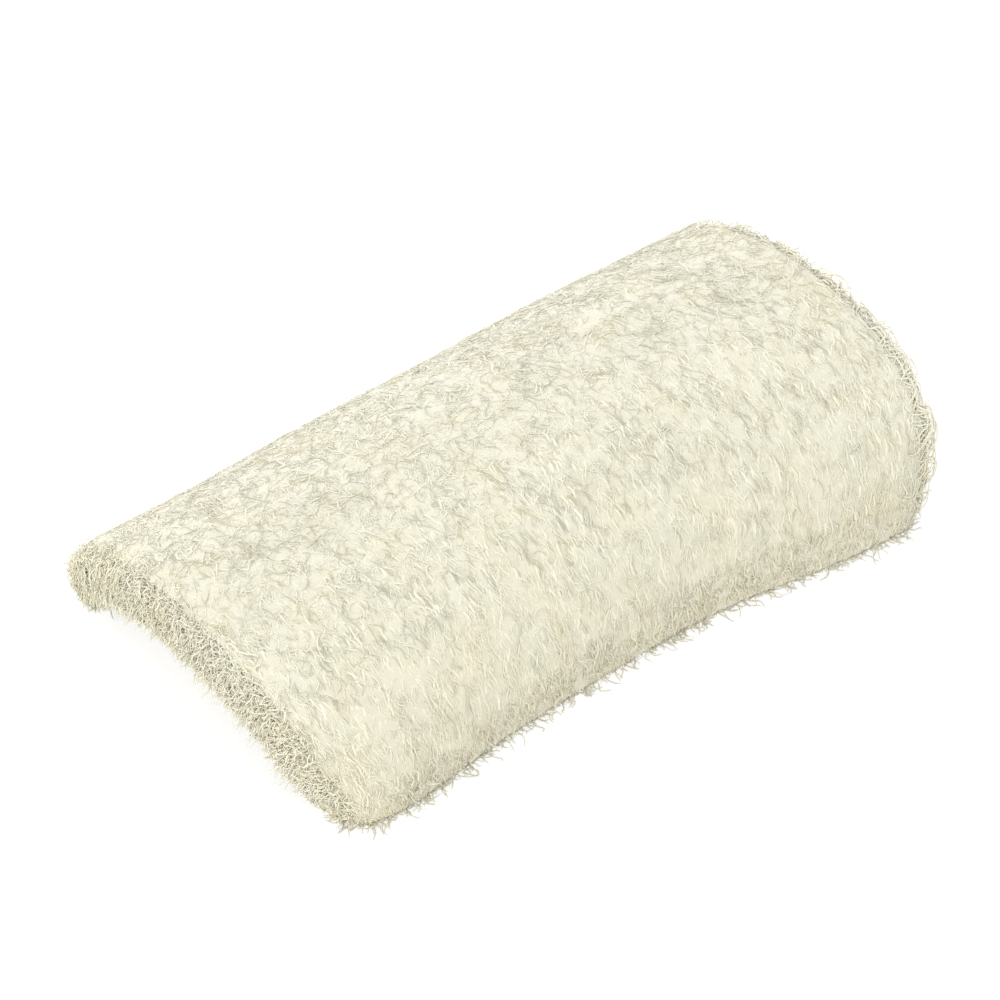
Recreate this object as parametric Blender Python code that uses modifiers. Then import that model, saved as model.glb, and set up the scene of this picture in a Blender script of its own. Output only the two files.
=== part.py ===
"""Loofah back scrubber: a half shell of dried luffa gourd, built from its grown layers.

The pad lies along X and stands on its two long cut edges at z = 0.
+Y is the rear edge, -Y the front edge, +X the end that stays tall.
The origin is in the middle of its footprint.
"""
import math

import bmesh
import bpy
from mathutils import Vector

# Overall size, metres; the tuples run from the low end to the tall end in even steps
FOOT_LENGTH = 0.1570
FRONT_REACH = (0.0502, 0.0477, 0.0442, 0.0463, 0.0493)
REAR_REACH = (0.0492, 0.0485, 0.0482, 0.0478, 0.0472)
CROWN_HEIGHT = (0.0237, 0.0290, 0.0333, 0.0365, 0.0388)

# Section shape: 2 is an ellipse, more is squarer at the shoulders
SECTION_POWER = 2.25
WAVE_REACH = 0.0004
WAVE_HEIGHT = 0.0003

# End shape: how far each end plane leans and slants, and how far its corners are rounded back
LEAN_LOW_END = 0.05
LEAN_TALL_END = 0.17
SLANT_LOW_END = -0.01
SLANT_TALL_END = -0.058
PULL_LOW_END = {"front": 0.0045, "rear": 0.0006}
PULL_TALL_END = {"front": 0.0045, "rear": 0.0030}
CORNER_POWER = 10

# The front corner of the low end is also tucked in under the pad
TUCK_LOW_FRONT = 0.0032
TUCK_END_POWER = 9

# The end edges are rounded off to a thinner lip
LIP_LENGTH = 0.0060
LIP_OUTER_LOW_END = 0.0038
LIP_OUTER_TALL_END = 0.0026
LIP_INNER = 0.0006

# Grown layers, from the outside in
GAP = 0.0003
OUTER_THICKNESS = 0.0038
MIDDLE_THICKNESS = 0.0062
INNER_THICKNESS = 0.0028
CUT_BEVEL = 0.0005

# Stubs of the cut seed chamber walls
SEPTUM_ANGLES = (34.0, 146.0)
SEPTUM_REACH = 0.34
SEPTUM_BASE_HALF = 4.6
SEPTUM_TIP_HALF = 2.6
SEPTUM_START = 0.05
SEPTUM_END = 0.95

# Lengthwise strands under the inner wall
STRAND_ANGLES = (15.0, 55.0, 72.0, 90.0, 108.0, 125.0, 165.0)
STRAND_RADIUS = 0.0007
STRAND_GAP = 0.0005
STRAND_SWAY = 1.6

BODY_STATIONS = 14
LIP_STATIONS = (0.0, 0.0015, 0.0035)
ARC_STEPS = 24

OUTER_DEPTH = 0.0
MIDDLE_DEPTH = OUTER_DEPTH + OUTER_THICKNESS + GAP
INNER_DEPTH = MIDDLE_DEPTH + MIDDLE_THICKNESS + GAP
HOLLOW_DEPTH = INNER_DEPTH + INNER_THICKNESS

FIBRE_COLOURS = {
    "outer_fibre": (0.840, 0.795, 0.620, 1.0),
    "middle_fibre": (0.800, 0.745, 0.540, 1.0),
    "inner_fibre": (0.820, 0.770, 0.580, 1.0),
    "septum_fibre": (0.790, 0.725, 0.510, 1.0),
    "strand_fibre": (0.760, 0.690, 0.460, 1.0),
}


def along(values, s):
    """Smooth curve through evenly spaced values, read at s from 0 to 1."""
    knots = [i / (len(values) - 1) for i in range(len(values))]
    total = 0.0
    for i, value in enumerate(values):
        weight = 1.0
        for j, knot in enumerate(knots):
            if j != i:
                weight *= (s - knot) / (knots[i] - knot)
        total += weight * value
    return total


def shaped_power(value, power):
    """Power that keeps the sign of its base."""
    return math.copysign(abs(value) ** power, value)


def crown_height(s):
    """Height of the outside of the shell at s."""
    return along(CROWN_HEIGHT, s) + WAVE_HEIGHT * math.sin(4.0 * math.pi * s + 0.3)


def side_reach(s, rear):
    """Distance of the rear or front outside edge from the middle line at s."""
    reach = along(REAR_REACH if rear else FRONT_REACH, s)
    phase = 2.1 if rear else 0.7
    return reach + WAVE_REACH * math.sin(5.0 * math.pi * s + phase)


def lip_depth(s, depth):
    """Depth of a point of the wall once the end edges are rounded off."""
    from_end = min(s, 1.0 - s) * FOOT_LENGTH
    q = max(0.0, 1.0 - from_end / LIP_LENGTH)
    drop = 1.0 - math.sqrt(1.0 - q * q)
    outer = LIP_OUTER_LOW_END if s < 0.5 else LIP_OUTER_TALL_END
    share = min(1.0, depth / HOLLOW_DEPTH)
    return depth + drop * (outer * (1.0 - share) - LIP_INNER * share)


def raw_arch_point(s, angle_deg, depth):
    """Point of the arched shell before it is centred on the origin."""
    depth = lip_depth(s, depth)
    angle = math.radians(angle_deg)
    across = -shaped_power(math.cos(angle), 2.0 / SECTION_POWER)
    up = abs(math.sin(angle)) ** (2.0 / SECTION_POWER)
    if angle_deg <= 0.0 or angle_deg >= 180.0:
        up = 0.0
    rear = across > 0.0
    toward_end = 2 * s - 1
    tuck = 0.0
    if not rear and toward_end < 0.0:
        tuck = TUCK_LOW_FRONT * abs(across) ** CORNER_POWER * abs(toward_end) ** TUCK_END_POWER
    y = (side_reach(s, rear) - depth - tuck) * across
    z = (crown_height(s) - depth) * up
    low_share = (1 - s) ** 2
    tall_share = s ** 2
    lean = LEAN_LOW_END * low_share + LEAN_TALL_END * tall_share
    slant = SLANT_LOW_END * low_share + SLANT_TALL_END * tall_share
    corners = PULL_TALL_END if toward_end > 0.0 else PULL_LOW_END
    corner = corners["rear" if rear else "front"]
    pull = corner * abs(across) ** CORNER_POWER * abs(toward_end) ** 5
    x = (s - 0.5) * FOOT_LENGTH + lean * z + slant * y - math.copysign(pull, toward_end)
    return Vector((x, y, z))


def stations():
    """Places of the cross sections along the pad: even over the body, closer at the lips."""
    ends = [place / FOOT_LENGTH for place in LIP_STATIONS]
    first = LIP_LENGTH / FOOT_LENGTH
    body = [first + (1 - 2 * first) * k / BODY_STATIONS for k in range(BODY_STATIONS + 1)]
    return ends + body + [1.0 - place for place in reversed(ends)]


def footprint_centre():
    """Middle of the box round the outside of the shell, seen from above."""
    skin = [raw_arch_point(s, 180.0 * i / ARC_STEPS, 0.0)
            for s in stations() for i in range(ARC_STEPS + 1)]
    xs = [point.x for point in skin]
    ys = [point.y for point in skin]
    return Vector((0.5 * (min(xs) + max(xs)), 0.5 * (min(ys) + max(ys)), 0.0))


def arch_point(s, angle_deg, depth):
    """Point of the arched shell: s along it, angle from the front foot, depth below its skin."""
    return raw_arch_point(s, angle_deg, depth) - CENTRE


def fibre_material(slot, roughness):
    """Pale dried plant fibre."""
    material = bpy.data.materials.new(slot)
    material.use_nodes = True
    shader = material.node_tree.nodes["Principled BSDF"]
    shader.inputs["Base Color"].default_value = FIBRE_COLOURS[slot]
    shader.inputs["Roughness"].default_value = roughness
    shader.inputs["Metallic"].default_value = 0.0
    return material


def loft(sections):
    """Skin through equal-length closed sections, still open at both ends."""
    shell = bmesh.new()
    rings = [[shell.verts.new(point) for point in section] for section in sections]
    count = len(rings[0])
    for ring, following in zip(rings, rings[1:]):
        for i in range(count):
            j = (i + 1) % count
            shell.faces.new((ring[i], ring[j], following[j], following[i]))
    return shell, rings


def finish_solid(name, shell, material, collection, smooth_angle):
    """Turn a bmesh into a shaded object of the collection."""
    bmesh.ops.recalc_face_normals(shell, faces=shell.faces)
    mesh = bpy.data.meshes.new(name)
    shell.to_mesh(mesh)
    shell.free()
    mesh.materials.append(material)
    mesh.shade_smooth()
    mesh.set_sharp_from_angle(angle=math.radians(smooth_angle))
    solid = bpy.data.objects.new(name, mesh)
    collection.objects.link(solid)
    return solid


def add_bevel(solid):
    """Break the sharp cut edges a little."""
    bevel = solid.modifiers.new("cut_edges", "BEVEL")
    bevel.width = CUT_BEVEL
    bevel.segments = 1
    bevel.limit_method = "ANGLE"
    bevel.angle_limit = math.radians(55)


def wall_layer(name, depth, thickness, material, collection):
    """One grown layer of the arched wall, standing on both of its cut edges."""
    angles = [180.0 * i / ARC_STEPS for i in range(ARC_STEPS + 1)]
    sections = []
    for s in stations():
        outside = [arch_point(s, angle, depth) for angle in angles]
        inside = [arch_point(s, angle, depth + thickness) for angle in reversed(angles)]
        sections.append(outside + inside)
    shell, rings = loft(sections)
    half = len(angles)
    for ring in (rings[0], rings[-1]):
        for i in range(half - 1):
            opposite = 2 * half - 1 - i
            shell.faces.new((ring[i], ring[i + 1], ring[opposite - 1], ring[opposite]))
    solid = finish_solid(name, shell, material, collection, 40)
    add_bevel(solid)
    return solid


def septum_stub(name, angle, material, collection):
    """Low ridge left where a seed chamber wall was cut away from the inner wall."""
    base_depth = HOLLOW_DEPTH + GAP + 0.0002
    sections = []
    for k in range(BODY_STATIONS + 1):
        s = SEPTUM_START + (SEPTUM_END - SEPTUM_START) * k / BODY_STATIONS
        reach = SEPTUM_REACH * (crown_height(s) - HOLLOW_DEPTH)
        section = []
        for share, half in ((0.0, SEPTUM_BASE_HALF), (0.45, 3.4), (0.85, SEPTUM_TIP_HALF)):
            section.append(arch_point(s, angle - half, base_depth + share * reach))
        section.append(arch_point(s, angle - 1.2, base_depth + reach))
        section.append(arch_point(s, angle + 1.2, base_depth + reach))
        for share, half in ((0.85, SEPTUM_TIP_HALF), (0.45, 3.4), (0.0, SEPTUM_BASE_HALF)):
            section.append(arch_point(s, angle + half, base_depth + share * reach))
        section.append(arch_point(s, angle, base_depth))
        sections.append(section)
    shell, rings = loft(sections)
    shell.faces.new(rings[0])
    shell.faces.new(rings[-1])
    return finish_solid(name, shell, material, collection, 50)


def axial_strand(name, index, angle, material, collection):
    """Round strand running the length of the pad under its inner wall."""
    depth = HOLLOW_DEPTH + STRAND_GAP + STRAND_RADIUS
    points = []
    for s in stations()[1:-1]:
        sway = STRAND_SWAY * math.sin(2.0 * math.pi * (1.4 * s + 0.37 * index))
        points.append(arch_point(s, angle + sway, depth))
    curve = bpy.data.curves.new(name, "CURVE")
    curve.dimensions = "3D"
    curve.bevel_depth = STRAND_RADIUS
    curve.bevel_resolution = 2
    curve.resolution_u = 1
    curve.render_resolution_u = 0
    curve.use_fill_caps = True
    spline = curve.splines.new("POLY")
    spline.points.add(len(points) - 1)
    for spline_point, point in zip(spline.points, points):
        spline_point.co = (point.x, point.y, point.z, 1.0)
    spline.use_smooth = True
    curve.materials.append(material)
    strand = bpy.data.objects.new(name, curve)
    collection.objects.link(strand)
    return strand


for old in list(bpy.data.objects):
    bpy.data.objects.remove(old, do_unlink=True)

CENTRE = footprint_centre()

parts = bpy.data.collections.new("loofah_back_scrubber")
bpy.context.scene.collection.children.link(parts)

outer_fibre = fibre_material("outer_fibre", 0.55)
middle_fibre = fibre_material("middle_fibre", 0.75)
inner_fibre = fibre_material("inner_fibre", 0.60)
septum_fibre = fibre_material("septum_fibre", 0.70)
strand_fibre = fibre_material("strand_fibre", 0.50)

wall_layer("outer_hoop_wall", OUTER_DEPTH, OUTER_THICKNESS, outer_fibre, parts)
wall_layer("middle_mat", MIDDLE_DEPTH, MIDDLE_THICKNESS, middle_fibre, parts)
wall_layer("inner_axial_wall", INNER_DEPTH, INNER_THICKNESS, inner_fibre, parts)

septum_stub("septum_stub_front", SEPTUM_ANGLES[0], septum_fibre, parts)
septum_stub("septum_stub_rear", SEPTUM_ANGLES[1], septum_fibre, parts)

for number, strand_angle in enumerate(STRAND_ANGLES, start=1):
    axial_strand("axial_strand_%d" % number, number, strand_angle, strand_fibre, parts)
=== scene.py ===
import math

import bpy
import numpy as np
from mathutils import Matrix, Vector, noise


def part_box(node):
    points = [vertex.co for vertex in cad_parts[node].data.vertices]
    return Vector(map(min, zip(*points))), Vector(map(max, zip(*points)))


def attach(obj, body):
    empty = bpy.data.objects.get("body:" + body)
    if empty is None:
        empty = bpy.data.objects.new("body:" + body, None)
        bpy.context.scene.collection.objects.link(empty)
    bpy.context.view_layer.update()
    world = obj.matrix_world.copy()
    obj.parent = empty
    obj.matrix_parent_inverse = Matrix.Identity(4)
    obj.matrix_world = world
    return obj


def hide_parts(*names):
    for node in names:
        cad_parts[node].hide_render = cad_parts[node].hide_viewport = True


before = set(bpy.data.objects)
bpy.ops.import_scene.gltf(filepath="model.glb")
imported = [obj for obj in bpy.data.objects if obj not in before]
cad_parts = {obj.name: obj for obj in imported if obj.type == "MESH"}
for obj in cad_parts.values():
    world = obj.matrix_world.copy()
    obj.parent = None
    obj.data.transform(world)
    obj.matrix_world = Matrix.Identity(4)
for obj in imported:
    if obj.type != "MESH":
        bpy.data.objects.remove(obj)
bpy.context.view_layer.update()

MM = 0.001
TINY = 1e-12

# The arched wall is described by s, which runs from 0 at the low end to 1 at the tall end, by an
# angle in degrees round the arch, from 0 at the front foot to 180 at the rear foot, and by a depth
# in metres below the skin. Sizes are in metres, and are the same as the CAD part's.
FOOT_LENGTH = 0.1570
FRONT_REACH = (0.0502, 0.0477, 0.0442, 0.0463, 0.0493)
REAR_REACH = (0.0492, 0.0485, 0.0482, 0.0478, 0.0472)
CROWN_HEIGHT = (0.0237, 0.0290, 0.0333, 0.0365, 0.0388)
SECTION_POWER = 2.25
WAVE_REACH = 0.0004
WAVE_HEIGHT = 0.0003
LEAN_LOW_END = 0.05
LEAN_TALL_END = 0.17
SLANT_LOW_END = -0.01
SLANT_TALL_END = -0.058
PULL_LOW_FRONT = 0.0045
PULL_LOW_REAR = 0.0006
PULL_TALL_FRONT = 0.0045
PULL_TALL_REAR = 0.0030
CORNER_POWER = 10
PULL_END_POWER = 5
TUCK_LOW_FRONT = 0.0032
TUCK_END_POWER = 9
DROP_PER_DEGREE = 0.0008       # how far the skin runs on below a foot, per degree past it
WALL_DEPTH = 0.0134
LIP_LENGTH = 0.0060
LIP_OUTER_LOW_END = 0.0038
LIP_OUTER_TALL_END = 0.0026
LIP_INNER = 0.0006
LAYER_DEPTHS = ((0.0, 0.0038), (0.0041, 0.0103), (0.0106, 0.0134))

# The low ridges left inside by the cut seed chambers
SEPTUM_ANGLES = (34.0, 146.0)
SEPTUM_REACH = 0.34
SEPTUM_START = 0.05
SEPTUM_END = 0.95
SEPTUM_BASE_DEPTH = 0.0137

# The seven thick lengthwise strands under the inner wall
STRAND_ANGLES = (15.0, 55.0, 72.0, 90.0, 108.0, 125.0, 165.0)
STRAND_DEPTH = 0.0146
STRAND_RADIUS = 0.0007
STRAND_SWAY = 1.6

# The fibre body of each layer stops a little short of the layer's own solid
BODY_START = 0.009
BODY_END = 0.984
BODY_SKIN_DEPTH = 0.00054
BODY_FINE_SHIFT = 0.00018
BODY_COARSE_SHIFT = 0.00012
FOOT_GAP = 0.0004              # lowest height of a body over the floor
FOOT_GAP_SPREAD = 0.0005       # and how much more it can be

# Radii of the fibres
THICK = 0.00016
FINE = 0.000125
LOBE = 0.00021
SHADE_LINE = 0.00009
NET = 0.000085
LOOP = 0.00019
CURL = 0.00014
DRAPE = 0.00013
STRAY = 0.00010
INNER = 0.00020
INNER_CROSS = 0.00011

FLOOR_CLEARANCE = 0.00025      # of a fibre's middle line
SKIN_CLEARANCE = FLOOR_CLEARANCE * 0.2
TRIANGLES_PER_PIECE = 180000


# ---------------------------------------------------------------- the wall's shape

def along(values, s):
    """Smooth curve through evenly spaced values, read at s from 0 to 1."""
    knots = [i / (len(values) - 1) for i in range(len(values))]
    total = 0.0
    for i, value in enumerate(values):
        weight = 1.0
        for j, knot in enumerate(knots):
            if j != i:
                weight = weight * (s - knot) / (knots[i] - knot)
        total = total + weight * value
    return total


def crown_height(s):
    """Height of the outside of the shell at s."""
    return along(CROWN_HEIGHT, s) + WAVE_HEIGHT * np.sin(4.0 * np.pi * s + 0.3)


def lip_depth(s, depth):
    """Depth of the wall after its end edges are rounded off to a thinner lip."""
    from_end = np.minimum(s, 1.0 - s) * FOOT_LENGTH
    q = np.clip(1.0 - from_end / LIP_LENGTH, 0.0, 1.0)
    drop = 1.0 - np.sqrt(1.0 - q ** 2)
    outer = np.where(s < 0.5, LIP_OUTER_LOW_END, LIP_OUTER_TALL_END)
    share = np.clip(depth / WALL_DEPTH, 0.0, 1.0)
    return depth + drop * (outer * (1.0 - share) - LIP_INNER * share)


def raw_wall(s, angle, depth):
    """Points of the arched wall, before centring; s past 0..1 runs on straight."""
    inside = np.clip(s, 0.0, 1.0)
    over = s - inside
    depth = lip_depth(inside, depth)
    bent = np.radians(np.clip(angle, 0.0, 180.0))
    past = np.where(angle < 0.0, -angle, np.where(angle > 180.0, angle - 180.0, 0.0))
    across = -np.sign(np.cos(bent)) * np.abs(np.cos(bent)) ** (2.0 / SECTION_POWER)
    up = np.maximum(np.sin(bent), 0.0) ** (2.0 / SECTION_POWER)
    reach = np.where(
        across > 0.0,
        along(REAR_REACH, inside) + WAVE_REACH * np.sin(5.0 * np.pi * inside + 2.1),
        along(FRONT_REACH, inside) + WAVE_REACH * np.sin(5.0 * np.pi * inside + 0.7))
    toward_end = 2.0 * inside - 1.0
    tuck = (TUCK_LOW_FRONT * np.abs(across) ** CORNER_POWER * np.abs(toward_end) ** TUCK_END_POWER
            * np.where((across < 0.0) & (toward_end < 0.0), 1.0, 0.0))
    y = (reach - depth - tuck) * across
    z = (crown_height(inside) - depth) * up - past * DROP_PER_DEGREE
    low_share = (1.0 - inside) ** 2
    tall_share = inside ** 2
    lean = LEAN_LOW_END * low_share + LEAN_TALL_END * tall_share
    slant = SLANT_LOW_END * low_share + SLANT_TALL_END * tall_share
    low_corner = np.where(across > 0.0, PULL_LOW_REAR, PULL_LOW_FRONT)
    tall_corner = np.where(across > 0.0, PULL_TALL_REAR, PULL_TALL_FRONT)
    corner = np.where(toward_end > 0.0, tall_corner, low_corner)
    pull = corner * np.abs(across) ** CORNER_POWER * np.abs(toward_end) ** PULL_END_POWER
    x = (inside - 0.5 + over) * FOOT_LENGTH + lean * z + slant * y - np.sign(toward_end) * pull
    return np.stack(np.broadcast_arrays(x, y, z), axis=-1)


def wall_centre():
    """Middle of the raw wall's footprint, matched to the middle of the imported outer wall."""
    s, angle = np.meshgrid(np.linspace(0, 1, 201), np.linspace(0, 180, 121), indexing="ij")
    skin = raw_wall(s, angle, 0.0).reshape(-1, 3)
    low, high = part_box("outer_hoop_wall")
    packed = np.array([0.5 * (low[0] + high[0]), 0.5 * (low[1] + high[1]), 0.0])
    middle = 0.5 * (skin.min(axis=0) + skin.max(axis=0))
    middle[2] = 0.0
    return middle - packed


CENTRE = wall_centre()


def wall(s, angle, depth):
    """Points of the arched wall in the row frame."""
    return raw_wall(s, angle, depth) - CENTRE


def wall_frame(s, angle, depth):
    """Metres per unit of s, metres per degree of angle, at points of the wall."""
    step_s = 0.004
    step_a = 0.8
    s_in = np.clip(s, 0.01, 0.99)
    a_in = np.clip(angle, 1.5, 178.5)
    along_x = (wall(s_in + step_s, a_in, depth) - wall(s_in - step_s, a_in, depth)) / (2 * step_s)
    round_a = (wall(s_in, a_in + step_a, depth) - wall(s_in, a_in - step_a, depth)) / (2 * step_a)
    return np.linalg.norm(along_x, axis=-1), np.linalg.norm(round_a, axis=-1)


def outward(s, angle, depth):
    """Unit outward normals of the wall."""
    step_s = 0.0045
    step_a = 0.9
    outer_step = 0.001
    a_in = np.clip(angle, 2.0, 178.0)
    s_in = np.clip(s, 0.01, 0.99)
    round_a = wall(s_in, a_in + step_a, depth) - wall(s_in, a_in - step_a, depth)
    along_x = wall(s_in + step_s, a_in, depth) - wall(s_in - step_s, a_in, depth)
    n = np.cross(along_x, -round_a)
    n = n / np.maximum(np.linalg.norm(n, axis=-1, keepdims=True), TINY)
    probe = wall(s_in, a_in, depth - outer_step) - wall(s_in, a_in, depth)
    flip = np.sign(np.sum(n * probe, axis=-1, keepdims=True))
    return n * np.where(flip == 0.0, 1.0, flip)


# ---------------------------------------------------------------- meshes

def add_object(name, mesh, material):
    mesh.materials.append(material)
    piece = bpy.data.objects.new(name, mesh)
    bpy.context.scene.collection.objects.link(piece)
    return piece


def mesh_from_arrays(name, points, faces, uvs=None):
    """Mesh from point and face arrays; faces is a list of (n, corners) index arrays."""
    mesh = bpy.data.meshes.new(name)
    mesh.vertices.add(len(points))
    mesh.vertices.foreach_set("co", np.ascontiguousarray(points, np.float32).ravel())
    corners = np.concatenate([f.ravel() for f in faces]).astype(np.int32)
    sizes = np.concatenate([np.full(len(f), f.shape[1]) for f in faces]).astype(np.int32)
    starts = np.concatenate([[0], np.cumsum(sizes)[:-1]]).astype(np.int32)
    mesh.loops.add(len(corners))
    mesh.loops.foreach_set("vertex_index", corners)
    mesh.polygons.add(len(sizes))
    mesh.polygons.foreach_set("loop_start", starts)
    mesh.polygons.foreach_set("use_smooth", np.ones(len(sizes), bool))
    mesh.update(calc_edges=True)
    if uvs is not None:
        layer = mesh.uv_layers.new(name="OFBake")
        layer.data.foreach_set("uv", np.ascontiguousarray(uvs, np.float32).ravel())
    mesh.validate()
    return mesh


def strand_uvs(count, rows, sides):
    """UVs for strand_mesh: one square cell for each strand, with a margin round it."""
    cells = math.ceil(math.sqrt(count))
    cell = 1.0 / cells
    inset = cell * 0.08
    span = cell * 0.84
    number = np.arange(count)
    corner_u = ((number % cells) * cell + inset)[:, None]
    corner_v = ((number // cells) * cell + inset)[:, None]
    r = np.arange(rows - 1)[:, None]
    k = np.arange(sides)[None, :]
    at_row = r + 0 * k
    at_side = k + 0 * r
    quad_u = np.stack([at_row, at_row, at_row + 1, at_row + 1], axis=-1).reshape(-1) + 1.0
    quad_v = np.stack([at_side, at_side + 1, at_side + 1, at_side], axis=-1).reshape(-1)
    k = np.arange(sides)
    zero = 0 * k
    tip_u = np.concatenate([np.stack([zero + 1, zero + 1, zero], -1),
                            np.stack([zero + rows, zero + rows, zero + rows + 1], -1)]).reshape(-1)
    tip_v = np.concatenate([np.stack([k + 1, k, k + 0.5], -1),
                            np.stack([k, k + 1, k + 0.5], -1)]).reshape(-1)
    parts = []
    for u, v in ((quad_u, quad_v), (tip_u, tip_v)):
        parts.append(np.stack([(corner_u + span * u[None] / (rows + 1)).ravel(),
                               (corner_v + span * v[None] / sides).ravel()], -1))
    return np.concatenate(parts)


def strand_mesh(name, paths, normals, half_width, half_height, sides=4):
    """Closed tapering strands: paths (n, m, 3), with a flattened section set by the normals."""
    n, m, _ = paths.shape
    tangent = np.gradient(paths, axis=1)
    tangent /= np.maximum(np.linalg.norm(tangent, axis=-1, keepdims=True), TINY)
    side = np.cross(tangent, normals)
    side /= np.maximum(np.linalg.norm(side, axis=-1, keepdims=True), TINY)
    lift = np.cross(side, tangent)
    turns = (2.0 * np.pi * (np.arange(sides) + 0.5) / sides)[None, None, :, None]
    ring = (paths[:, :, None, :]
            + np.cos(turns) * half_width[:, :, None, None] * side[:, :, None, :]
            + np.sin(turns) * half_height[:, :, None, None] * lift[:, :, None, :])
    ring = ring[:, 1:-1]
    rows = m - 2
    tips = np.stack([paths[:, 0], paths[:, -1]], axis=1)
    points = np.concatenate([ring.reshape(n, rows * sides, 3), tips], axis=1)
    points = points.reshape(-1, 3)
    points[:, 2] = np.maximum(points[:, 2], SKIN_CLEARANCE)
    base = (np.arange(n) * (rows * sides + 2))[:, None, None]
    r = np.arange(rows - 1)[:, None]
    k = np.arange(sides)[None, :]
    k2 = (k + 1) % sides
    quad = np.stack([r * sides + k, r * sides + k2, (r + 1) * sides + k2, (r + 1) * sides + k],
                    axis=-1).reshape(-1, 4)
    quads = (base + quad[None]).reshape(-1, 4)
    k = np.arange(sides)
    k2 = (k + 1) % sides
    last_row = (rows - 1) * sides
    first = np.stack([k2, k, np.full(sides, rows * sides)], axis=-1)
    last = np.stack([last_row + k, last_row + k2, np.full(sides, rows * sides + 1)], axis=-1)
    tris = (base + np.concatenate([first, last])[None]).reshape(-1, 3)
    return mesh_from_arrays(name, points, [quads, tris], strand_uvs(n, rows, sides))


def face_grid(sheet, flip):
    """Quads over a grid of point numbers."""
    a, b, c, d = sheet[:-1, :-1], sheet[1:, :-1], sheet[1:, 1:], sheet[:-1, 1:]
    order = [a, b, c, d] if flip else [a, d, c, b]
    return np.stack(order, axis=-1).reshape(-1, 4)


def block_mesh(name, s, angle, depth, seed):
    """Closed, roughened solid of the wall between the first and last s, angle and depth."""
    fine_scale = 420.0
    coarse_scale = 130.0
    calm_height = 0.002        # below this the roughness fades, so that the foot stays level
    grid_s, grid_a, grid_d = np.meshgrid(s, angle, depth, indexing="ij")
    points = wall(grid_s, grid_a, grid_d)
    index = np.arange(grid_s.size).reshape(grid_s.shape)
    sheets = [face_grid(index[:, :, 0], False), face_grid(index[:, :, -1], True),
              face_grid(index[:, 0, :], True), face_grid(index[:, -1, :], False),
              face_grid(index[0, :, :], False), face_grid(index[-1, :, :], True)]
    quads = np.concatenate(sheets)
    used, compact = np.unique(quads, return_inverse=True)
    quads = compact.reshape(quads.shape)
    points = points.reshape(-1, 3)[used]
    shift = np.zeros_like(points)
    noise.seed_set(seed)       # the noise starts from the clock otherwise
    offset = Vector((seed * 3.1, seed * 1.7, seed * 0.9))
    for i, point in enumerate(points):
        place = Vector(point)
        fine = noise.noise_vector(place * fine_scale + offset)
        coarse = noise.noise_vector(place * coarse_scale + offset)
        shift[i] = fine * BODY_FINE_SHIFT + coarse * BODY_COARSE_SHIFT
    shift[:, 2] *= np.clip(points[:, 2] / calm_height, 0.0, 1.0)
    points = points + shift
    x, y = points[:, 0], points[:, 1]
    ripple = np.sin(x * 900.0 + 3.0 * np.sin(x * 310.0)) * np.cos(y * 700.0)
    foot = FOOT_GAP + FOOT_GAP_SPREAD * (0.5 + 0.5 * ripple)
    points[:, 2] = np.maximum(points[:, 2], foot)
    return mesh_from_arrays(name, points, [quads])


# ---------------------------------------------------------------- materials

def new_node(tree, kind, x, y):
    node = tree.nodes.new(kind)
    node.location = (x, y)
    return node


def new_noise(tree, vector, scale, detail, x, y):
    node = new_node(tree, "ShaderNodeTexNoise", x, y)
    node.inputs["Scale"].default_value = scale
    node.inputs["Detail"].default_value = detail
    tree.links.new(vector, node.inputs["Vector"])
    return node


def new_ramp(tree, fac, stops, x, y):
    """Colour ramp through (position, colour) stops, from the first to the last."""
    node = new_node(tree, "ShaderNodeValToRGB", x, y)
    elements = node.color_ramp.elements
    for element, (position, colour) in zip((elements[0], elements[1]), (stops[0], stops[-1])):
        element.position = position
        element.color = (*colour, 1.0)
    for position, colour in stops[1:-1]:
        elements.new(position).color = (*colour, 1.0)
    tree.links.new(fac, node.inputs["Fac"])
    return node.outputs["Color"]


def new_range(tree, value, sizes, x, y):
    """Map Range node with the named sizes."""
    node = new_node(tree, "ShaderNodeMapRange", x, y)
    for size_name, size in sizes.items():
        node.inputs[size_name].default_value = size
    tree.links.new(value, node.inputs["Value"])
    return node.outputs["Result"]


def multiply(tree, a, b, x, y):
    node = new_node(tree, "ShaderNodeMix", x, y)
    node.data_type = "RGBA"
    node.blend_type = "MULTIPLY"
    node.inputs["Factor"].default_value = 1.0
    tree.links.new(a, node.inputs["A"])
    tree.links.new(b, node.inputs["B"])
    return node.outputs["Result"]


WHITE = (1.0, 1.0, 1.0)
PATCH_SCALE = 115.0
OWN_TINTS = ((0.0, (0.87, 0.865, 0.80)), (0.14, (0.985, 0.975, 0.93)), (1.0, WHITE))
# painted shade: each fibre colour is multiplied towards this darker, warmer colour near the floor,
# and the shade fades out by this height above it
PAINTED_FLOOR_SHADE = (0.975, 0.962, 0.905)
PAINTED_SHADE_HEIGHT = 0.028
ROUGHNESS_SPREAD = 0.12
RELIEF_DEPTH = 0.0004


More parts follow.
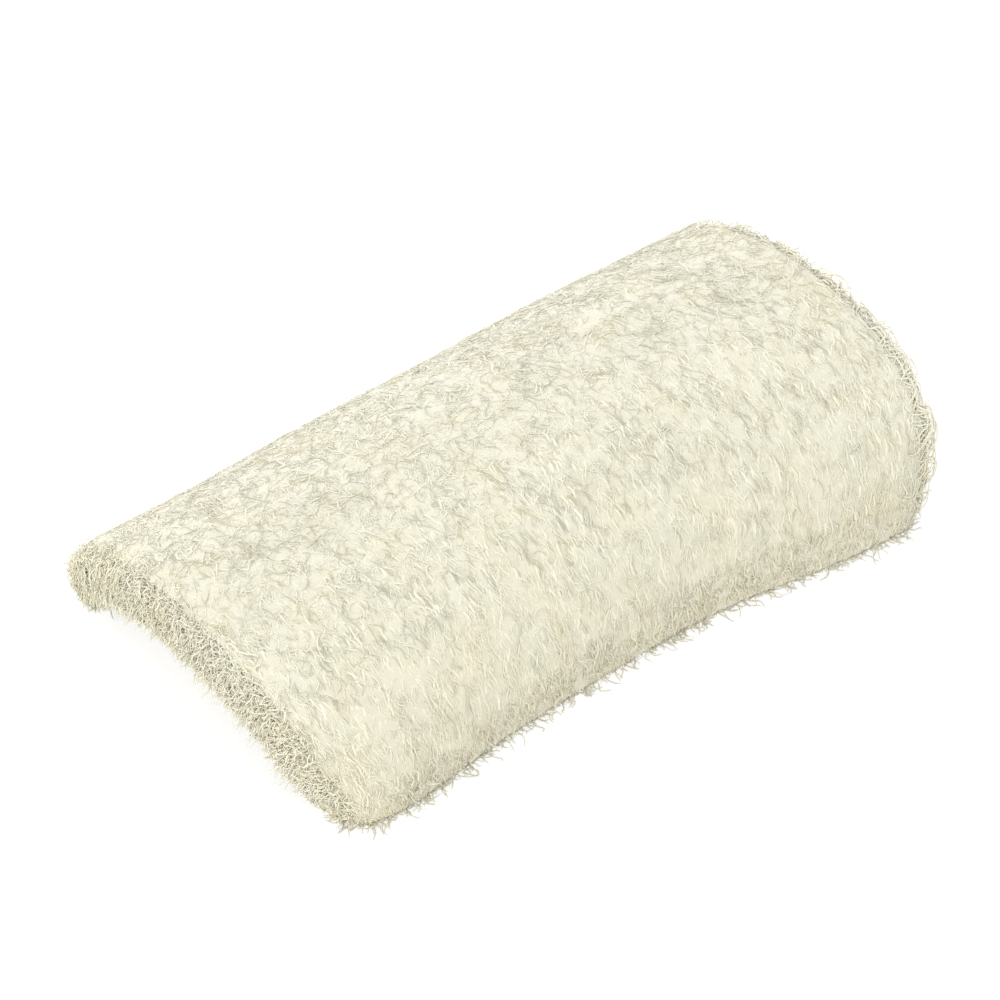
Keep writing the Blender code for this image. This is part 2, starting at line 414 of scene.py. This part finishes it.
def fibre_material(name, pale, warm, cool, roughness, fine_scale, bump, stretch=(1.0, 1.0, 1.0)):
    """Dried plant fibre: patchy cream colour, a tint of its own on each strand, fine grain, and
    painted shade that makes it darker and warmer towards the floor.
    """
    material = bpy.data.materials.new(name)
    material.use_nodes = True
    tree = material.node_tree
    shader = tree.nodes["Principled BSDF"]
    for socket, value in (("Metallic", 0.0), ("IOR", 1.45), ("Specular IOR Level", 0.22),
                          ("Diffuse Roughness", 1.0), ("Sheen Weight", 0.5),
                          ("Sheen Roughness", 0.7)):
        shader.inputs[socket].default_value = value

    place = new_node(tree, "ShaderNodeTexCoord", -1300, 0).outputs["Object"]
    patches = new_noise(tree, place, PATCH_SCALE, 3.0, -1100, 200)
    patches.inputs["Roughness"].default_value = 0.55
    patch_tint = new_ramp(tree, patches.outputs["Fac"], ((0.36, cool), (0.49, pale), (0.62, warm)),
                          -900, 200)
    own = new_node(tree, "ShaderNodeNewGeometry", -1100, -200)
    own_tint = new_ramp(tree, own.outputs["Random Per Island"], OWN_TINTS, -900, -200)
    tinted = multiply(tree, patch_tint, own_tint, -600, 100)

    # painted shade: darker and warmer towards the floor
    height = new_node(tree, "ShaderNodeSeparateXYZ", -900, 450)
    tree.links.new(place, height.inputs["Vector"])
    share = new_range(tree, height.outputs["Z"], {"From Max": PAINTED_SHADE_HEIGHT}, -700, 450)
    painted_floor_shade = new_ramp(tree, share, ((0.0, PAINTED_FLOOR_SHADE), (1.0, WHITE)), -500, 450)
    shaded_colour = multiply(tree, tinted, painted_floor_shade, -300, 200)
    tree.links.new(shaded_colour, shader.inputs["Base Color"])

    drawn_out = new_node(tree, "ShaderNodeMapping", -1300, -500)
    drawn_out.inputs["Scale"].default_value = stretch
    tree.links.new(place, drawn_out.inputs["Vector"])
    grain = new_noise(tree, drawn_out.outputs["Vector"], fine_scale, 4.0, -1100, -500)
    uneven = new_range(tree, grain.outputs["Fac"],
                       {"From Min": 0.3, "From Max": 0.7, "To Min": roughness - ROUGHNESS_SPREAD,
                        "To Max": roughness + ROUGHNESS_SPREAD}, -850, -500)
    tree.links.new(uneven, shader.inputs["Roughness"])
    relief = new_node(tree, "ShaderNodeBump", -350, -400)
    relief.inputs["Strength"].default_value = bump
    relief.inputs["Distance"].default_value = RELIEF_DEPTH
    tree.links.new(grain.outputs["Fac"], relief.inputs["Height"])
    tree.links.new(relief.outputs["Normal"], shader.inputs["Normal"])
    return material


# ---------------------------------------------------------------- strands

def strand_paths(rng, s0, a0, d0, heading, length, points=9, curl=0.25, wave=0.35,
                 rise=0.5, sink=0.9, out_lift=0.0):
    """Paths on the wall: from each start, along heading (radians, 0 runs round the arch)."""
    n = len(s0)
    t = np.linspace(-0.5, 0.5, points)[None, :]
    bend = rng.normal(0.0, curl, (n, 1))
    turn = heading[:, None] + bend * (t * 2.0)
    phase = rng.uniform(0, 2 * np.pi, (n, 1))
    cycles = rng.uniform(0.7, 1.6, (n, 1))
    turn = turn + wave * np.sin(2.0 * np.pi * cycles * t + phase)
    step = length[:, None] / (points - 1)
    du = np.cos(turn) * step
    dw = np.sin(turn) * step
    u = np.cumsum(du, axis=1)
    w = np.cumsum(dw, axis=1)
    u -= u[:, points // 2][:, None]
    w -= w[:, points // 2][:, None]
    per_s, per_a = wall_frame(s0, a0, d0)
    s = s0[:, None] + w / per_s[:, None]
    a = a0[:, None] + u / per_a[:, None]
    bow = np.cos(np.pi * t)
    weave = rng.uniform(0.3, 1.0, (n, 1)) * MM
    d = d0[:, None] + sink * weave * (1.0 - bow) - rise * weave * bow
    tail = rng.uniform(0.0, 1.0, (n, 1)) ** 3
    d = d - out_lift * MM * tail * np.clip(t * 2.0, 0.0, 1.0) ** 2
    return s, a, d


def taper(n, points, radius, rng, spread=0.25, end=0.35):
    """Radius along each strand, thin at both ends."""
    t = np.linspace(-1.0, 1.0, points)[None, :]
    own = radius * np.clip(1.0 + spread * rng.normal(size=(n, 1)), 0.5, 1.8)
    return own * (end + (1.0 - end) * np.sqrt(np.clip(1.0 - t ** 4, 0.0, 1.0)))


def add_strands(name, rng, paths, normals, radius, flatness, material, sides=3):
    """Make strand pieces from paths, in chunks along the pad, riding on the one body."""
    paths[:, :, 2] = np.maximum(paths[:, :, 2], FLOOR_CLEARANCE)
    order = np.argsort(np.mean(paths[:, :, 0], axis=1), kind="stable")
    points = paths.shape[1]
    each = 2 * sides * (points - 3) + 2 * sides
    pieces = max(1, math.ceil(len(order) * each / TRIANGLES_PER_PIECE))
    for number, chunk in enumerate(np.array_split(order, pieces), start=1):
        width = taper(len(chunk), points, radius, rng)
        mesh = strand_mesh(name, paths[chunk], normals[chunk], width, width * flatness, sides)
        piece = add_object("%s_%d" % (name, number), mesh, material)
        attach(piece, "root")


def lay_strands(name, rng, s, a, d, radius, flatness, material, sides=4):
    """Strand pieces from paths given on the wall."""
    normals = outward(s, a, np.clip(d, 0.0, WALL_DEPTH))
    add_strands(name, rng, wall(s, a, d), normals, radius, flatness, material, sides)


def even_starts(rng, count, s_range=(0.0, 1.0), a_range=(0.0, 180.0)):
    """Random starts spread evenly over the arched surface."""
    s = rng.uniform(s_range[0], s_range[1], count * 3)
    a = rng.uniform(a_range[0], a_range[1], count * 3)
    _, per_a = wall_frame(s, a, np.zeros_like(s))
    keep = rng.uniform(0.0, per_a.max(), count * 3) < per_a
    s = s[keep][:count]
    a = a[keep][:count]
    return s, a


def free_paths(rng, start, heading, length, points=7, curl=1.6, wave=0.12):
    """Curled paths in open space: they leave each start along heading and bend as they go."""
    n = len(start)
    heading = heading / np.maximum(np.linalg.norm(heading, axis=-1, keepdims=True), 1e-9)
    loose = rng.normal(size=(n, 3))
    bend = np.cross(heading, loose)
    bend /= np.maximum(np.linalg.norm(bend, axis=-1, keepdims=True), 1e-9)
    third = np.cross(heading, bend)
    turn = (rng.uniform(0.2, 1.0, (n, 1)) * curl)
    t = np.linspace(0.0, 1.0, points)[None, :]
    forward = np.sin(turn * t) / turn
    aside = (1.0 - np.cos(turn * t)) / turn
    phase = rng.uniform(0.0, 2.0 * np.pi, (n, 1))
    waver = wave * (np.sin(2.0 * np.pi * t * 1.2 + phase) - np.sin(phase))
    path = (heading[:, None] * forward[..., None] + bend[:, None] * aside[..., None]
            + third[:, None] * waver[..., None])
    return start[:, None] + path * length[:, None, None], np.repeat(bend[:, None], points, axis=1)


# ---------------------------------------------------------------- looks

# Each look has a pale, a warm and a cool colour. The strands that stand proud of the close wool
# catch more light, so theirs are a little deeper.
WOOL = ((0.940, 0.919, 0.800), (0.942, 0.913, 0.776), (0.933, 0.920, 0.796))
PROUD = ((0.895, 0.875, 0.757), (0.897, 0.866, 0.728), (0.888, 0.875, 0.756))
ALONG_HOOP = (0.4, 1.0, 1.0)
outer_look = fibre_material("outer_fibre_look", *PROUD, roughness=0.45, fine_scale=900.0,
                            bump=0.15, stretch=ALONG_HOOP)
fine_look = fibre_material("fine_fibre_look", *WOOL, roughness=0.52, fine_scale=1100.0, bump=0.1)
lobe_look = fibre_material("side_lobe_look", *PROUD, roughness=0.30, fine_scale=900.0,
                           bump=0.1, stretch=ALONG_HOOP)
# painted shade: the deeper olive colour of the thin strands that stand in for shadowed gaps
shade_line_look = fibre_material("painted_shade_line_look", (0.66, 0.64, 0.50), (0.69, 0.64, 0.46),
                           (0.62, 0.62, 0.51), roughness=0.45, fine_scale=900.0, bump=0.1)
# painted shade: the packed mat's colour is deeper than the wool's, so that its bare, unshaded
# patches come out as dark as the shaded fibres round them
mat_look = fibre_material("fibre_mat_look", (0.795, 0.777, 0.665), (0.795, 0.770, 0.643),
                          (0.788, 0.777, 0.668), roughness=0.75, fine_scale=1500.0, bump=0.7)
inner_look = fibre_material("inner_fibre_look", (0.930, 0.905, 0.780), (0.930, 0.895, 0.730),
                            (0.910, 0.900, 0.800), roughness=0.52, fine_scale=800.0, bump=0.3,
                            stretch=(0.2, 1.0, 1.0))
straw_look = fibre_material("straw_strand_look", (0.880, 0.830, 0.640), (0.870, 0.800, 0.570),
                            (0.870, 0.835, 0.680), roughness=0.42, fine_scale=900.0, bump=0.5,
                            stretch=(0.12, 1.0, 1.0))
septum_look = fibre_material("septum_fibre_look", (0.905, 0.870, 0.720), (0.900, 0.850, 0.660),
                             (0.890, 0.865, 0.745), roughness=0.65, fine_scale=700.0, bump=0.6)


# ---------------------------------------------------------------- pieces

def make_mats():
    """The packed fibre body of each grown layer."""
    s = np.linspace(BODY_START, BODY_END, 150)
    angles = np.linspace(0.0, 180.0, 150)
    outer, middle, inner = LAYER_DEPTHS
    skin = (BODY_SKIN_DEPTH, outer[1])
    layers = (("outer_mat", "outer_hoop_wall", "outer_fibre", skin, mat_look),
              ("middle_mat_body", "middle_mat", "middle_fibre", middle, mat_look),
              ("inner_mat", "inner_axial_wall", "inner_fibre", inner, inner_look))
    for seed, (name, node, slot_name, (low, high), look) in enumerate(layers, start=1):
        mesh = block_mesh(name, s, angles, np.linspace(low, high, 5), seed)
        piece = add_object(name, mesh, look)
        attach(piece, "root")
        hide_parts(node)


def hoop_heading(rng, a0, tight, loose):
    """Headings round the arch: orderly on the front side, tangled over the crown and behind."""
    order_ends, order_fades = 118.0, 60.0
    turned_share = 0.35
    front = np.clip((order_ends - a0) / order_fades, 0.0, 1.0)
    spread = np.radians(tight + (loose - tight) * (1.0 - front))
    n = len(a0)
    heading = rng.normal(0.0, 1.0, n) * spread
    return heading + np.where(rng.uniform(size=n) < turned_share, np.pi, 0.0)


def skin_strands(name, seed, regions, heading, length, depth, radius, flatness, look,
                 sides=4, **path):
    """Strands on the skin. Regions are (count, s range, angle range); length and depth are
    ranges in mm, and path goes on to strand_paths."""
    rng = np.random.default_rng(seed)
    starts = [even_starts(rng, *region) for region in regions]
    s0 = np.concatenate([s for s, _ in starts])
    a0 = np.concatenate([a for _, a in starts])
    turn = heading(rng, a0)
    reach = rng.uniform(*length, len(s0)) * MM
    d0 = rng.uniform(*depth, len(s0)) * MM
    s, a, d = strand_paths(rng, s0, a0, d0, turn, reach, **path)
    lay_strands(name, rng, s, a, d, radius, flatness, look, sides)


def lobe_heading(rng, a0):
    """Headings of the lobes: nearly parallel on the front side, looser on the rear side."""
    return rng.normal(0.0, 1.0, len(a0)) * np.radians(np.where(a0 < 90.0, 11.0, 32.0))


WHOLE_LENGTH = (0.0, 1.0)
WHOLE_SKIN = (WHOLE_LENGTH, (-1.0, 181.0))


def make_skin():
    """Everything that lies on the outside of the arch."""
    # thick strands that show singly
    skin_strands("hoop_fibres", 11, [(3000, *WHOLE_SKIN)],
                 lambda rng, a0: hoop_heading(rng, a0, tight=12.0, loose=50.0),
                 length=(3.5, 8.5), depth=(0.42, 0.80), radius=THICK, flatness=0.45,
                 look=outer_look, curl=0.18, wave=0.22, rise=0.2, sink=0.6, out_lift=0.9)
    # the close wool of thin fibres between them
    skin_strands("fine_fibres", 12, [(30000, *WHOLE_SKIN)],
                 lambda rng, a0: hoop_heading(rng, a0, tight=22.0, loose=75.0),
                 length=(2.5, 5.5), depth=(0.40, 0.84), radius=FINE, flatness=0.34,
                 look=fine_look, sides=3, points=6, curl=0.4, wave=0.45, rise=0.15, sink=0.3,
                 out_lift=0.8)
    # short, plump, slightly glossy strands in rows down the steep sides
    skin_strands("side_lobes", 14,
                 [(2500, WHOLE_LENGTH, (1.0, 84.0)), (1500, WHOLE_LENGTH, (108.0, 179.0))],
                 lobe_heading,
                 length=(2.0, 4.4), depth=(0.4, 0.75), radius=LOBE, flatness=0.42,
                 look=lobe_look, sides=6, points=8, curl=0.15, wave=0.12, rise=0.15, sink=0.6,
                 out_lift=0.7)
    # painted shade: sparse thin strands of a deeper olive colour, most of them over the crown,
    # that stand in for the shadowed gaps beside the thick strands
    skin_strands("painted_shade_strands", 15,
                 [(1300, WHOLE_LENGTH, (50.0, 140.0)), (700, WHOLE_LENGTH, (2.0, 178.0))],
                 lambda rng, a0: hoop_heading(rng, a0, tight=12.0, loose=45.0),
                 length=(2.5, 8.0), depth=(0.25, 0.5), radius=SHADE_LINE, flatness=0.8,
                 look=shade_line_look, points=11, curl=0.5, wave=0.35, rise=0.1, sink=0.5,
                 out_lift=0.3)
    # hair-thin curls that cross everything
    skin_strands("net_fibres", 13, [(4500, (-0.003, 1.003), (0.0, 180.0))],
                 lambda rng, a0: rng.uniform(0.0, 2.0 * np.pi, len(a0)),
                 length=(3.0, 8.0), depth=(0.35, 0.95), radius=NET, flatness=1.0,
                 look=outer_look, sides=3, points=9, curl=1.1, wave=0.9, rise=0.2, sink=0.9,
                 out_lift=1.8)


def end_heading(s0, a0, d0, end):
    """Unit vectors out of the cut end, out of the skin, and round the arch."""
    out = outward(s0, a0, d0)
    inside = np.where(end > 0.5, 0.96, 0.04)
    past = wall(end, a0, d0) - wall(inside, a0, d0)
    past /= np.linalg.norm(past, axis=-1, keepdims=True)
    return past, out, np.cross(past, out)


def make_end_fuzz():
    """Curls that cover both cut ends, through the whole thickness of the wall."""
    skin_fades = 0.005
    shallowest = 0.8 * MM
    for end, name, seed in ((0.0, "low_end_fuzz", 21), (1.0, "tall_end_fuzz", 22)):
        rng = np.random.default_rng(seed)
        count, deepest = (10000, 0.011) if end < 0.5 else (8500, 0.009)
        a0 = rng.uniform(0.0, 180.0, count)
        d0 = rng.uniform(0.0, 1.0, count) * WALL_DEPTH
        ends = np.full(count, end)
        inset = rng.uniform(0.4, 1.6, count) * deepest
        s0 = np.abs(ends - inset)
        past, out, around = end_heading(s0, a0, d0, ends)
        skin = np.clip(1.0 - d0 / skin_fades, 0.0, 1.0)[:, None]
        heading = (past * rng.uniform(0.1, 1.0, (count, 1))
                   + out * (rng.normal(0.0, 0.5, (count, 1)) - 0.25 * skin)
                   + around * rng.normal(0.0, 0.9, (count, 1)))
        length = rng.uniform(1.8, 4.0, count) * MM
        start = wall(s0, a0, np.maximum(d0, shallowest))
        paths, normals = free_paths(rng, start, heading, length, curl=2.2)
        add_strands(name, rng, paths, normals, CURL, 0.9, fine_look)


def make_low_end_drape():
    """Skin fibres that hang over the rounded low end, and a few stray curls at its rear corner."""
    rng = np.random.default_rng(26)
    count = 8000
    droop_share = 0.6
    a0 = rng.uniform(0.0, 180.0, count)
    d0 = rng.uniform(0.2, 11.5, count) * MM
    s0 = rng.uniform(-0.004, 0.026, count)
    past, out, around = end_heading(s0, a0, d0, np.zeros(count))
    heading = (past * rng.uniform(0.3, 1.0, (count, 1)) + out * rng.uniform(-0.2, 0.5, (count, 1))
               + around * rng.normal(0.0, 0.7, (count, 1)))
    length = rng.uniform(2.5, 5.0, count) * MM
    start = wall(np.maximum(s0, 0.004), a0, d0)
    paths, normals = free_paths(rng, start, heading, length, curl=0.5)
    droop = np.linspace(0.0, 1.0, paths.shape[1])[None, :, None] ** 2
    paths = paths - out[:, None] * droop * length[:, None, None] * droop_share
    add_strands("low_end_drape", rng, paths, normals, DRAPE, 0.9, fine_look)
    a0 = np.concatenate([rng.uniform(158.0, 179.0, 60), rng.uniform(20.0, 150.0, 30)])
    strays = len(a0)
    d0 = rng.uniform(0.0, 5.0, strays) * MM
    s0 = np.full(strays, 0.01)
    past, out, around = end_heading(s0, a0, d0, np.zeros(strays))
    heading = (past + out * rng.normal(0.1, 0.4, (strays, 1))
               + around * rng.normal(0.0, 0.5, (strays, 1)))
    length = rng.uniform(3.0, 5.5, strays) * MM
    paths, normals = free_paths(rng, wall(s0, a0, d0), heading, length, points=9, curl=2.4)
    add_strands("stray_curls", rng, paths, normals, STRAY, 1.0, outer_look)


def make_tall_end_loops():
    """Open cells along the tall end: strands that bow out past the mat and come back."""
    rng = np.random.default_rng(23)
    a0 = np.concatenate([rng.uniform(4.0, 168.0, 130), rng.uniform(14.0, 64.0, 110),
                         rng.uniform(80.0, 125.0, 60)])
    count = len(a0)
    crown = np.exp(-((a0 - 100.0) / 35.0) ** 2)
    d0 = (rng.uniform(0.2, 2.4, count) + 0.9 * crown) * MM
    span = rng.uniform(5.0, 11.0, count) * MM
    reach = rng.uniform(2.2, 6.0, count) * (1.0 - 0.3 * crown) * MM
    per_s, per_a = wall_frame(np.full(count, 0.985), a0, d0)
    t = np.linspace(-0.5, 0.5, 13)[None, :]
    bow = np.cos(np.pi * t) ** 0.7
    base = rng.uniform(0.960, BODY_END, (count, 1))
    s = base + reach[:, None] * bow / per_s[:, None]
    a = a0[:, None] + span[:, None] * (t + 0.06 * np.sin(4.0 * np.pi * t)) / per_a[:, None]
    near_end = np.clip(1.0 - (1.0 - np.minimum(s, 1.0)) * FOOT_LENGTH / LIP_LENGTH, 0.0, 1.0)
    rounded_off = LIP_OUTER_TALL_END * (1.0 - np.sqrt(1.0 - near_end ** 2))
    d = d0[:, None] + rng.normal(0.0, 0.3, (count, 1)) * MM * bow - rounded_off
    lay_strands("tall_end_loops", rng, s, a, d, LOOP, 0.8, outer_look)


def make_foot_fringe():
    """Wisps that stand out along the two long cut edges, and fibres lying on the cut faces."""
    rng = np.random.default_rng(24)
    for foot, name in ((0.0, "front_foot_fringe"), (180.0, "rear_foot_fringe")):
        count = 3000
        s0 = rng.uniform(0.06 if foot < 90.0 else 0.0, 1.0, count)
        rise = rng.uniform(5.0, 18.0, count)
        a0 = foot + (rise if foot < 90.0 else -rise)
        d0 = rng.uniform(0.7, 1.4, count) * MM
        out = outward(s0, a0, d0)
        heading = np.zeros((count, 3))
        heading[:, 0] = rng.normal(0.0, 0.45, count)
        heading[:, 2] = -1.0
        heading = heading + out * rng.uniform(0.0, 0.8, (count, 1))
        length = rng.uniform(1.5, 3.8, count) * MM
        paths, normals = free_paths(rng, wall(s0, a0, d0), heading, length, curl=1.0)
        add_strands(name, rng, paths, normals, CURL, 0.9, outer_look)
    for foot, name in ((0.0, "front_foot_face"), (180.0, "rear_foot_face")):
        count = 5200
        s0 = rng.uniform(0.005, 0.985, count)
        d0 = rng.uniform(0.2, 13.4, count) * MM
        start = wall(s0, np.full(count, foot), d0)
        start[:, 2] = rng.uniform(0.15, 0.55, count) * MM
        turn = rng.uniform(0.0, 2.0 * np.pi, count)
        heading = np.stack([np.cos(turn), np.sin(turn), rng.normal(0.0, 0.02, count)], axis=-1)
        length = rng.uniform(2.0, 6.0, count) * MM
        paths, normals = free_paths(rng, start, heading, length, curl=1.8)
        height = rng.uniform(0.0, 1.0, (count, 1)) * 0.25 * MM
        base = start[:, None, 2]
        paths[:, :, 2] = base * 0.6 + height + 0.15 * (paths[:, :, 2] - base)
        add_strands(name, rng, paths, normals, THICK, 0.8, mat_look)


def line_hollow(name, rng, count, middle, spread, length, proud, radius, flatness, look, **path):
    """Strands on the inside of the arch. Middle and spread are headings in degrees from the
    hoop direction; length, and proud, the depth past the inner face, are ranges in mm."""
    s0, a0 = even_starts(rng, count, (0.01, 0.99), (0.0, 180.0))
    heading = np.radians(middle) + rng.normal(0.0, np.radians(spread), len(s0))
    reach = rng.uniform(*length, len(s0)) * MM
    d0 = WALL_DEPTH + rng.uniform(*proud, len(s0)) * MM
    s, a, d = strand_paths(rng, s0, a0, d0, heading, reach, rise=0.3, sink=0.4, **path)
    d = 2.0 * d0[:, None] - d
    s = np.clip(s, -0.004, 1.004)
    a = np.clip(a, 0.0, 180.0)
    lay_strands(name, rng, s, a, d, radius, flatness, look, sides=3)


def make_inner_strands():
    """Lengthwise fibres that line the hollow, with thin ones crossing them."""
    rng = np.random.default_rng(25)
    line_hollow("inner_axial_fibres", rng, 9000, middle=90.0, spread=13.0, length=(7.0, 18.0),
                proud=(-0.3, 0.6), radius=INNER, flatness=0.8, look=inner_look, curl=0.25,
                wave=0.2)
    line_hollow("inner_cross_fibres", rng, 5000, middle=0.0, spread=45.0, length=(3.0, 8.0),
                proud=(-0.3, 0.5), radius=INNER_CROSS, flatness=0.9, look=fine_look, curl=0.8,
                wave=0.6)


def septum_half(share):
    """Half width of a septum stub, in degrees, at a share of its height."""
    return np.interp(share, (0.0, 0.45, 0.85, 1.0), (4.6, 3.4, 2.6, 1.2))


def make_septum_ridge(name, node, rng, angle, s, reach):
    """One torn spongy ridge: a ring of points round its section at each s, with closed ends."""
    share = np.array([0.0, 0.25, 0.5, 0.75, 0.92, 1.0, 0.92, 0.75, 0.5, 0.25, 0.0])
    sign = np.array([-1, -1, -1, -1, -1, 0, 1, 1, 1, 1, 1])
    narrower = 0.95
    count = len(s)
    m = len(share)
    grid_s = np.repeat(s[:, None], m, axis=1)
    rough = 1.0 + rng.normal(0.0, 0.09, grid_s.shape)
    grid_a = angle + (sign * septum_half(share))[None, :] * rough * narrower
    grid_d = SEPTUM_BASE_DEPTH + share[None, :] * reach[:, None]
    points = wall(grid_s, grid_a, grid_d).reshape(-1, 3)
    i = np.arange(count - 1)[:, None]
    j = np.arange(m)[None, :]
    j2 = (j + 1) % m
    quads = np.stack([i * m + j, i * m + j2, (i + 1) * m + j2, (i + 1) * m + j], -1)
    fan = np.arange(1, m - 1)
    caps = np.concatenate([np.stack([0 * fan, fan + 1, fan], -1),
                           (count - 1) * m + np.stack([0 * fan, fan, fan + 1], -1)])
    mesh = mesh_from_arrays(name, points, [quads.reshape(-1, 4), caps])
    ridge = add_object(name, mesh, septum_look)
    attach(ridge, "root")
    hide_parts(node)


def make_septum_fibres(name, rng, angle, s, reach):
    """Cut fibres that stand off a ridge."""
    count = 4200
    s0 = rng.uniform(SEPTUM_START - 0.005, SEPTUM_END + 0.005, count)
    up = rng.uniform(0.0, 1.0, count) ** 0.8
    side = rng.choice([-1.0, 1.0], count)
    a0 = angle + side * septum_half(up) * rng.uniform(0.6, 1.0, count)
    d0 = SEPTUM_BASE_DEPTH + up * np.interp(s0, s, reach)
    out = outward(np.clip(s0, 0.02, 0.98), a0, np.full(count, WALL_DEPTH))
    heading = (-out * rng.uniform(0.0, 1.0, (count, 1)) + rng.normal(0.0, 0.5, (count, 3))
               + np.array([1.0, 0.0, 0.0]) * rng.normal(0.0, 0.8, (count, 1)))
    length = rng.uniform(1.5, 4.5, count) * MM
    paths, normals = free_paths(rng, wall(s0, a0, d0), heading, length, curl=1.8)
    add_strands(name, rng, paths, normals, CURL, 0.9, septum_look)


def make_septum_ridges():
    """The two ridges left by the cut seed chambers, torn to an uneven height."""
    for k, (angle, side) in enumerate(zip(SEPTUM_ANGLES, ("front", "rear"))):
        rng = np.random.default_rng(31 + k)
        s = np.linspace(SEPTUM_START, SEPTUM_END, 240)
        tear = 0.78 + 0.16 * np.sin(37.0 * s + 2.0 * k) * np.sin(91.0 * s + k)
        tear = np.clip(tear + rng.normal(0.0, 0.05, len(s)), 0.45, 1.0)
        reach = SEPTUM_REACH * (crown_height(s) - WALL_DEPTH) * tear
        make_septum_ridge("septum_ridge_" + side, "septum_stub_" + side, rng, angle, s, reach)
        make_septum_fibres("septum_fibres_" + side, rng, angle, s, reach)


def make_straws():
    """The thick lengthwise strands: ribbed, a little uneven, thinner at their ends."""
    for number, angle in enumerate(STRAND_ANGLES, start=1):
        rng = np.random.default_rng(40 + number)
        count = 120
        s = np.linspace(0.035, 0.965, count)
        sway = STRAND_SWAY * np.sin(2.0 * np.pi * (1.4 * s + 0.37 * number))
        sway = sway + 0.15 * np.sin(2.0 * np.pi * (7.0 * s + 0.2 * number))
        path = wall(s, angle + sway, np.full(count, STRAND_DEPTH))[None]
        normals = outward(s, angle + sway, np.full(count, WALL_DEPTH))[None]
        ends = np.clip(np.minimum(s - s[0], s[-1] - s) / 0.02, 0.0, 1.0) ** 0.5
        lumps = 1.0 + 0.10 * np.sin(61.0 * s + number) + rng.normal(0.0, 0.03, count)
        width = (STRAND_RADIUS * 0.95 * lumps * (0.45 + 0.55 * ends))[None]
        mesh = strand_mesh("straw_%d" % number, path, normals, width, width * 0.85, sides=12)
        straw = add_object("straw_%d" % number, mesh, straw_look)
        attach(straw, "root")
        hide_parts("axial_strand_%d" % number)


make_mats()
make_skin()
make_end_fuzz()
make_low_end_drape()
make_tall_end_loops()
make_foot_fringe()
make_inner_strands()
make_septum_ridges()
make_straws()


# ---------------------------------------------------------------- floor, light, camera

FLOOR_HALF = 6.0
FLOOR_GREY = (0.40, 0.40, 0.40)
FLOOR_GLOW = 0.68              # a faint glow of its own keeps the shadow under the pad light
WORLD_STRENGTH = 1.035
SENSOR_WIDTH = 36.0
FOCAL_LENGTH = 147.8
CAMERA_AZIMUTH = math.radians(37.22)
CAMERA_ELEVATION = math.radians(42.68)
CAMERA_DISTANCE = 0.872
CAMERA_SIDESTEP = 0.0001
CAMERA_AIM_HEIGHT = 0.01453
CAMERA_AIM_DROP = 0.00045


def make_floor():
    material = bpy.data.materials.new("floor_white")
    material.use_nodes = True
    shader = material.node_tree.nodes["Principled BSDF"]
    shader.inputs["Base Color"].default_value = (*FLOOR_GREY, 1.0)
    shader.inputs["Roughness"].default_value = 0.9
    shader.inputs["Specular IOR Level"].default_value = 0.0
    shader.inputs["Emission Color"].default_value = (*WHITE, 1.0)
    shader.inputs["Emission Strength"].default_value = FLOOR_GLOW
    mesh = bpy.data.meshes.new("floor")
    half = FLOOR_HALF
    mesh.from_pydata([(-half, -half, 0), (half, -half, 0), (half, half, 0), (-half, half, 0)],
                     [], [(0, 1, 2, 3)])
    add_object("floor", mesh, material)


def add_area(name, place, target, size, power):
    data = bpy.data.lights.new(name, "AREA")
    data.shape = "DISK"
    data.size = size
    data.energy = power
    light = bpy.data.objects.new(name, data)
    bpy.context.scene.collection.objects.link(light)
    light.location = place
    light.rotation_euler = (Vector(target) - Vector(place)).to_track_quat("-Z", "Y").to_euler()


def make_world():
    world = bpy.data.worlds.new("studio")
    bpy.context.scene.world = world
    world.use_nodes = True
    background = world.node_tree.nodes["Background"]
    background.inputs["Color"].default_value = (*WHITE, 1.0)
    background.inputs["Strength"].default_value = WORLD_STRENGTH


def make_camera():
    data = bpy.data.cameras.new("photo_camera")
    camera = bpy.data.objects.new("photo_camera", data)
    bpy.context.scene.collection.objects.link(camera)
    data.sensor_width = SENSOR_WIDTH
    data.lens = FOCAL_LENGTH
    data.clip_start = 0.05
    data.clip_end = 30.0
    sin_azimuth, cos_azimuth = math.sin(CAMERA_AZIMUTH), math.cos(CAMERA_AZIMUTH)
    away = Vector((sin_azimuth, cos_azimuth, 0.0))
    right = Vector((cos_azimuth, -sin_azimuth, 0.0))
    target = (Vector((-CENTRE[0], -CENTRE[1], CAMERA_AIM_HEIGHT)) + right * CAMERA_SIDESTEP
              - Vector((0, 0, CAMERA_AIM_DROP)))
    flat = math.cos(CAMERA_ELEVATION) * CAMERA_DISTANCE
    rise = math.sin(CAMERA_ELEVATION) * CAMERA_DISTANCE
    camera.location = target - away * flat + Vector((0, 0, rise))
    camera.rotation_euler = (target - camera.location).to_track_quat("-Z", "Y").to_euler()
    bpy.context.scene.camera = camera


make_floor()
make_world()
add_area("top_softbox", (0.1, 0.5, 1.3), (0.0, 0.0, 0.0), size=0.9, power=4.0)
add_area("low_end_fill", (-1.1, -0.1, 0.35), (-0.08, 0.0, 0.01), size=0.9, power=3.6)
make_camera()

settings = bpy.context.scene.view_settings
settings.view_transform = "Standard"
settings.look = "None"
settings.exposure = 0.0
settings.gamma = 1.0
